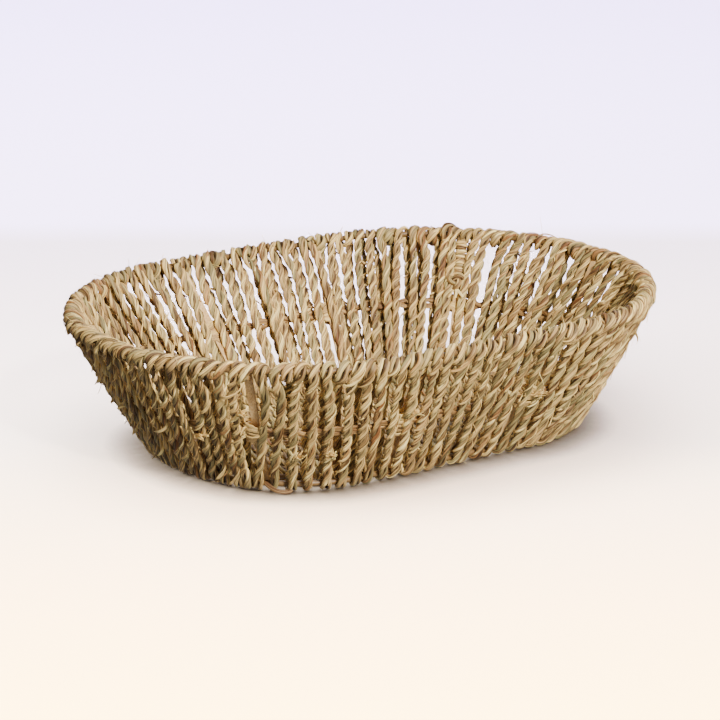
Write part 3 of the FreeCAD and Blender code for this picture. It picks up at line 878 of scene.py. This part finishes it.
def add_cut_leaf(buffer, start, aim, outward, length):
    """One short leaf end that bends a little away from its root."""
    steps = np.linspace(0, 1, 9)[:, None]
    bend = random.normal(0, 0.18, 3)
    line = start + aim * steps * length + bend * steps ** 2 * length
    tone = clipped_normal(0.82, 0.12, 0.3, 1.0)
    normals = np.broadcast_to(outward, line.shape)
    half_width = CUT_HALF_WIDTH * random.uniform(0.5, 1.1)
    add_strip(buffer, line, normals, half_width, 0.16 * MM, tone, 0.0, tip=0.6)


BOUND_STAKE = 1
# How far down the stake the binding goes, in millimetres.
BOUND_LENGTH = 26.0
BOUND_TURNS = 8
BOUND_STEP = 0.8 * MM


def add_bound_ply(buffer, line, normals, sizes, lay, uneven=0.0):
    """One ply on its own, with painted shade on the side that lies on the stake."""
    points, normals, distance = even_line(line, normals, BOUND_STEP)
    across, normals = frames_along(points, normals)
    size = np.ones(len(points))
    if uneven:
        size += uneven * smooth_noise(distance[-1], 9 * MM)(distance)
    flat = np.zeros(len(points))
    sizes = (sizes[0] * size, sizes[1] * size)
    # The last argument puts painted shade on the side towards the stake.
    add_ply(buffer, points, across, normals, sizes, distance, -distance / lay, (flat, flat - 1))


def stake_binding():
    """The strand wound down one stake from the rim."""
    _, top, forward, outward, up = stake_frame(BOUND_STAKE)
    turn = np.linspace(0, 2 * np.pi * BOUND_TURNS, BOUND_TURNS * 22)
    fall = 3.0 + BOUND_LENGTH * turn / turn[-1]
    offset = np.outer(3.0 * np.cos(turn), forward) + np.outer(1.9 * np.sin(turn) - 0.6, outward)
    line = top + (offset - np.outer(fall, up)) * MM
    normals = np.outer(np.cos(turn), forward) + np.outer(np.sin(turn), outward)
    buffer = MeshBuffer()
    add_bound_ply(buffer, line, normals, (1.75 * MM, 0.95 * MM), 6 * MM, 0.08)
    piece = buffer.make("wound_binding", LEAF)
    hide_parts("stake_binding")


def binding_knot():
    """The knot that the binding ends in, and its loose ends."""
    _, top, forward, outward, up = stake_frame(BOUND_STAKE)
    heart = top - up * (BOUND_LENGTH + 6.5) * MM - outward * 4.6 * MM + forward * 0.8 * MM
    turn = np.linspace(0, 2 * np.pi, 90)
    x = 1.65 * (np.sin(turn) + 2 * np.sin(2 * turn))
    z = 1.55 * (np.cos(turn) - 2 * np.cos(2 * turn))
    offset = np.outer(x, forward) + np.outer(z, up) - np.outer(1.5 * np.sin(3 * turn), outward)
    line = heart + offset * MM
    buffer = MeshBuffer()
    add_bound_ply(buffer, line, unit(line - heart), (2.0 * MM, 1.6 * MM), 7 * MM)
    for side in (-1, 1):
        for _ in range(2):
            aim = -up * random.uniform(0.5, 1.2) + forward * side * random.uniform(0.1, 0.8)
            aim = unit(aim - outward * random.uniform(0, 0.5))
            add_cut_leaf(buffer, heart - up * 3 * MM, aim, -outward, random.uniform(6, 11) * MM)
    piece = buffer.make("wound_knot", LEAF)
    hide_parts("binding_knot")


# ---- Floor ----
FLOOR_PITCH = BASE.length / BASE_TURNS
FLOOR_CROSSINGS = 34
FLOOR_PARTS = 3
END_TURNS = 5
# Places of the lashings in turns of rope round the base hoop, for one half of it.
LASHINGS = (22.5, 26.5, 28.5, 30.5, -2.5, 1.5)
FLOOR_TURN = FLOOR_ROD + ROPE_HALF_THICKNESS
UP = np.array([0.0, 0.0, 1.0])


def floor_half_width(along):
    """Half the floor hoop's width at places along it."""
    edge, _, _ = FLOOR.at(np.linspace(0.0, 0.5, 400))
    return np.interp(along, edge[::-1, 0], edge[::-1, 1])


def add_even_rope(buffer, points, normals, passes=0):
    """A rope of even size along a line, with its corners rounded."""
    points, normals, distance = even_line(points, normals)
    plain = np.zeros(len(points))
    add_rope(buffer, blurred(points, passes), normals, distance, plain, plain + 1.0)


def floor_rope():
    """The rope's turns across the floor hoop, above it one way and below it the other."""
    for part, numbers in enumerate(np.array_split(np.arange(FLOOR_CROSSINGS), FLOOR_PARTS)):
        points, normals = [], []
        for number in numbers:
            along = (number - (FLOOR_CROSSINGS - 1) / 2) * FLOOR_PITCH
            turned = along + 0.3 * FLOOR_PITCH
            for sign, x_start, x_stop in ((1, along, turned), (-1, turned, along + FLOOR_PITCH)):
                steps = np.linspace(0, 1, 30)
                x = x_start + (x_stop - x_start) * steps
                half = floor_half_width(x)
                y = sign * half * (1 - 2 * steps)
                sway = random.normal(0, 0.5) * MM * np.sin(np.pi * steps)
                proud = random.uniform(0, 0.4) * MM * np.sin(np.pi * steps)
                z = FLOOR.height + sign * (FLOOR_TURN + proud)
                points.append(np.stack([x + sway, y, z], axis=1))
                normals.append(np.broadcast_to(sign * UP, (30, 3)))
                angle = np.linspace(0, np.pi, 9)[1:-1]
                normal = np.stack([0 * angle, -sign * np.sin(angle), sign * np.cos(angle)], axis=1)
                edge = np.array([x_stop, -sign * half[-1], FLOOR.height])
                points.append(edge + FLOOR_TURN * normal)
                normals.append(normal)
        buffer = MeshBuffer()
        add_even_rope(buffer, np.concatenate(points), np.concatenate(normals), 2)
        piece = buffer.make(f"wound_floor_rope_{part + 1}", ROPE)
        if part == 0:
            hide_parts("floor_rope")


def floor_end_wraps():
    """Rope wound round the floor hoop's two ends, past the last crossing."""
    buffer = MeshBuffer()
    reach = (END_TURNS + 0.4) / BASE_TURNS
    turns = 2 * END_TURNS + 1
    for end in (0.0, 0.5):
        turn = np.linspace(0, 2 * np.pi * turns, 24 * turns)
        fraction = end + reach * (2 * turn / turn[-1] - 1)
        centres, _, outward = FLOOR.at(fraction)
        normals = outward * np.cos(turn)[:, None] + UP * np.sin(turn)[:, None]
        add_even_rope(buffer, centres + normals * FLOOR_TURN, normals)
    piece = buffer.make("wound_floor_ends", ROPE)
    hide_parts("floor_end_wraps")


def floor_lashings():
    """Thin strands, two turns each, that tie the floor hoop to the base hoop."""
    buffer = MeshBuffer()
    turn = np.linspace(0, 2 * np.pi, 36, endpoint=False)
    cosine, sine = np.cos(turn), np.sin(turn)
    for station in [number + end for end in (0, BASE_TURNS // 2) for number in LASHINGS]:
        base, forward, outward = (rows[0] for rows in BASE.at(station / BASE_TURNS))
        floor = base - outward * INSET
        floor[2] = FLOOR.height
        apart = base - floor
        reach = np.linalg.norm(apart)
        along = apart / reach
        rise = np.cross(forward, along)
        middle = (base + floor) / 2
        for shift in (-0.9, 0.9):
            x = (reach / 2) * np.sign(cosine) * np.minimum(np.abs(cosine) * 1.6, 1) + 2.6 * MM * cosine
            z = 2.6 * MM * sine
            line = middle + np.outer(x, along) + np.outer(z, rise) + forward * shift * MM
            normals = np.outer(cosine, along) + np.outer(sine, rise)
            tone = random.uniform(0.3, 0.7)
            add_strip(buffer, line, normals, 0.9 * MM, 0.55 * MM, tone, 0.0, closed=True)
    piece = buffer.make("wound_floor_lashings", LEAF)
    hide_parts("floor_lashings")


# ---- Cut rope ends and the loose husk ----
# Fraction round the wall, level up it, and the turn of each tuft's aim from straight up, in
# radians.
TUFTS = (
    (0.593, 0.65, 0.6), (0.625, 0.27, 0.2), (0.648, 0.27, -0.3),
    (0.699, 0.55, 0.5), (0.558, 0.42, 1.2), (0.80, 0.50, 0.4),
)
TUFT_LEAVES = 13
HUSK_START = 0.600
HUSK_REACH = 0.021


def tufts():
    """Frayed ends of rope that stick out of the wall, and one husk at a stake's foot."""
    buffer = MeshBuffer()
    for fraction, level, lean in TUFTS:
        top, low, up, forward, outward = (rows[0] for rows in wall_at([fraction], [fraction]))
        root = low * (1 - level) + top * level + outward * (TURN_RADIUS + 1.0 * MM)
        for _ in range(TUFT_LEAVES):
            aim = up * math.cos(lean) + forward * math.sin(lean) + outward * random.uniform(0.1, 0.6)
            aim = unit(aim + forward * random.normal(0, 0.28))
            start = root + forward * random.normal(0, 0.9) * MM + outward * random.uniform(0, 1.6) * MM
            add_cut_leaf(buffer, start, aim, outward, random.uniform(5, 9.5) * MM)

    steps = np.linspace(0, 1, 22)
    fraction = HUSK_START + HUSK_REACH * steps
    _, low, _, _, outward = wall_at(fraction, fraction)
    line = low + outward * (3.0 + 4.5 * np.sin(np.pi * (0.15 + 0.75 * steps)))[:, None] * MM
    line[:, 2] = (6.5 * (1 - steps) ** 2 + 1.1 + 1.4 * steps ** 3) * MM
    add_strip(buffer, line, outward + 0.6 * UP, 1.3 * MM, 0.10 * MM, 0.0, 0.35, 10, tip=0.1)
    buffer.make("cut_ends", LEAF)


wall_ropes()
twine_ring()
tie_bands()
stake_binding()
binding_knot()
floor_rope()
floor_end_wraps()
floor_lashings()
tufts()

# ---- Stage ----
CAMERA_AZIMUTH = -34.9
CAMERA_ELEVATION = 16.2
CAMERA_DISTANCE = 1.670
# Where the camera aims: how far to the right of the basket's middle, and how high.
AIM_ASIDE = -0.0026
AIM_HEIGHT = 0.0437
LENS = 139.0


def add_camera():
    data = bpy.data.cameras.new("camera")
    camera = bpy.data.objects.new("camera", data)
    bpy.context.scene.collection.objects.link(camera)
    bpy.context.scene.camera = camera
    azimuth = math.radians(CAMERA_AZIMUTH)
    elevation = math.radians(CAMERA_ELEVATION)
    target = Vector((AIM_ASIDE * math.cos(azimuth), AIM_ASIDE * math.sin(azimuth), AIM_HEIGHT))
    back = Vector((
        math.sin(azimuth) * math.cos(elevation),
        -math.cos(azimuth) * math.cos(elevation),
        math.sin(elevation),
    ))
    camera.location = target + back * CAMERA_DISTANCE
    camera.rotation_euler = back.to_track_quat("Z", "Y").to_euler()
    data.lens = LENS
    data.sensor_width = 36.0
    data.clip_end = 50.0
    data.dof.use_dof = False


def add_light(name, location, size, power, colour=(1.0, 1.0, 1.0), receivers=None):
    data = bpy.data.lights.new(name, "AREA")
    data.shape = "DISK"
    data.size = size
    data.energy = power
    data.color = colour
    light = bpy.data.objects.new(name, data)
    bpy.context.scene.collection.objects.link(light)
    light.location = location
    light.rotation_euler = Vector(location).to_track_quat("Z", "Y").to_euler()
    if receivers is not None:
        light.light_linking.receiver_collection = receivers


def stage_mesh(name, points, faces, material):
    """A piece of the stage that the camera sees and that throws no light on the basket."""
    mesh = bpy.data.meshes.new(name)
    mesh.from_pydata(points, [], faces)
    mesh.materials.append(material)
    piece = bpy.data.objects.new(name, mesh)
    bpy.context.scene.collection.objects.link(piece)
    piece.visible_diffuse = False
    piece.visible_glossy = False
    return piece


# How far the painted contact shadow reaches from the basket.
PAINTED_SHADOW_REACH = 0.022


def paper_material(name, glow):
    """White paper, warm in front of the basket, cooler behind it, with a darker grey band of painted
    shade about and behind the basket, and painted shadow where the basket meets it.
    """
    nodes = Nodes(name)
    place = nodes.add("ShaderNodeTexCoord").outputs["Object"]
    split = nodes.add("ShaderNodeSeparateXYZ", {0: place}).outputs
    behind = nodes.math("MULTIPLY", split["Y"], 0.82)
    depth = nodes.math("ADD", behind, nodes.math("MULTIPLY", split["X"], 0.57))
    # The darker grey colours from 0.20 to 0.43 are painted shade about and behind the basket.
    paper = nodes.ramp(nodes.mapped(depth, -0.45, 1.7, 0, 1), [
        (0.00, (0.92, 0.59, 0.22, 1)),
        (0.20, (0.44, 0.36, 0.32, 1)),
        (0.43, (0.34, 0.28, 0.35, 1)),
        (0.46, (0.46, 0.38, 0.62, 1)),
        (1.00, (0.62, 0.48, 1.00, 1)),
    ])
    # Painted contact shadow: darkened towards near black close to the basket, in the colour and the
    # glow alike.
    painted_shadow_occlusion = nodes.add("ShaderNodeAmbientOcclusion", {"Distance": PAINTED_SHADOW_REACH}, samples=8)
    outside_painted_shadow = nodes.math("POWER", painted_shadow_occlusion.outputs["AO"], 2.6)
    colour = nodes.mix(outside_painted_shadow, (0.05, 0.035, 0.02, 1.0), paper)
    nodes.set(nodes.shader.inputs["Emission Color"], colour)
    nodes.shader.inputs["Emission Strength"].default_value = glow
    return nodes.finish(colour, 0.9)


FLOOR_REACH = 5.0
BACKDROP_RADIUS = 3.8
BACKDROP_HEIGHTS = (-0.01, 4.0)
BACKDROP_SIDES = 24


def add_stage():
    """A square floor and a round backdrop. Returns the collection that holds the floor alone."""
    reach = FLOOR_REACH
    corners = [(-reach, -reach, 0), (reach, -reach, 0), (reach, reach, 0), (-reach, reach, 0)]
    floor = stage_mesh("floor", corners, [(0, 1, 2, 3)], paper_material("paper_floor", 0.3))
    radius, sides = BACKDROP_RADIUS, BACKDROP_SIDES
    angles = [side * math.tau / sides for side in range(sides)]
    ring = [(radius * math.cos(angle), radius * math.sin(angle)) for angle in angles]
    wall = [(x, y, height) for height in BACKDROP_HEIGHTS for x, y in ring]
    following = [(side + 1) % sides for side in range(sides)]
    faces = [(side, after, sides + after, sides + side) for side, after in enumerate(following)]
    backdrop = stage_mesh("backdrop", wall, faces, paper_material("paper_wall", 4.5))
    backdrop.visible_shadow = False
    only_floor = bpy.data.collections.new("floor_light")
    only_floor.objects.link(floor)
    return only_floor


def add_world():
    world = bpy.data.worlds.new("studio")
    world.use_nodes = True
    background = world.node_tree.nodes["Background"]
    background.inputs["Color"].default_value = (1.0, 0.97, 0.95, 1.0)
    background.inputs["Strength"].default_value = 0.30
    bpy.context.scene.world = world


WARM = (1.0, 0.97, 0.93)
PAPER_WHITE = (1.0, 0.99, 0.98)

add_camera()
floor_only = add_stage()
add_world()
add_light("key", (-0.35, -2.1, 1.6), 0.30, 136, (1.0, 0.96, 0.90))
add_light("front", (-0.2, -2.3, 0.6), 0.7, 22, WARM)
add_light("top", (0.2, 0.4, 2.6), 0.8, 14, WARM)
add_light("fill", (1.9, -0.9, 1.0), 1.0, 20)
add_light("back", (1.4, 2.0, 1.7), 1.2, 24)
add_light("floor_dome", (-0.2, 0.0, 2.5), 3.4, 720, PAPER_WHITE, floor_only)
add_light("floor_key", (-2.2, 0.6, 1.6), 1.6, 420, PAPER_WHITE, floor_only)
